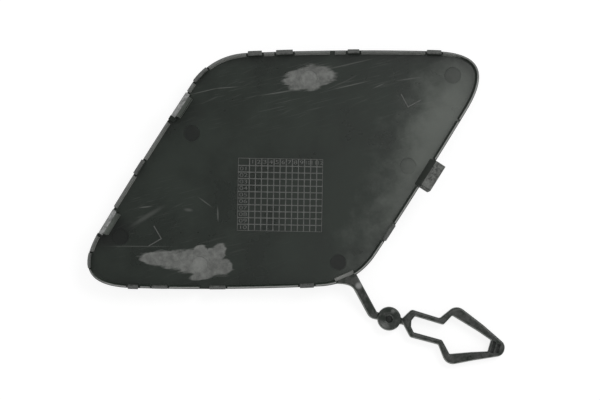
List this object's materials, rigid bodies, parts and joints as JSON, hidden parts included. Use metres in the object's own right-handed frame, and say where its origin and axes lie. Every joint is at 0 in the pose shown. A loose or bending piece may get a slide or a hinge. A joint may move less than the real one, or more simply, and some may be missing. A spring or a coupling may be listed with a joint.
{
  "type": "bumper tow hook cover",
  "caption": "Leaning round-cornered cover for a bumper's tow hook opening, with a rim of snap tabs and hooks, a tongue, and a moulded tether ending in an arrow-shaped loop.",
  "frame": {"origin": "lowest point of the crowned outer face, at the middle of the plate", "axes": "+Z out of the plate's back, into the bumper; +X to the right along the long edges and +Y up between them, seen from the back"},
  "size_m": [0.1051, 0.0791, 0.0131],
  "materials": {
    "moulded_plastic": "black polypropylene as moulded, satin on the back, with ejector-pin marks, scratches and grey smears"
  },
  "bodies": {
    "root": {"cover": "moulded_plastic"}
  },
  "joints": []
}
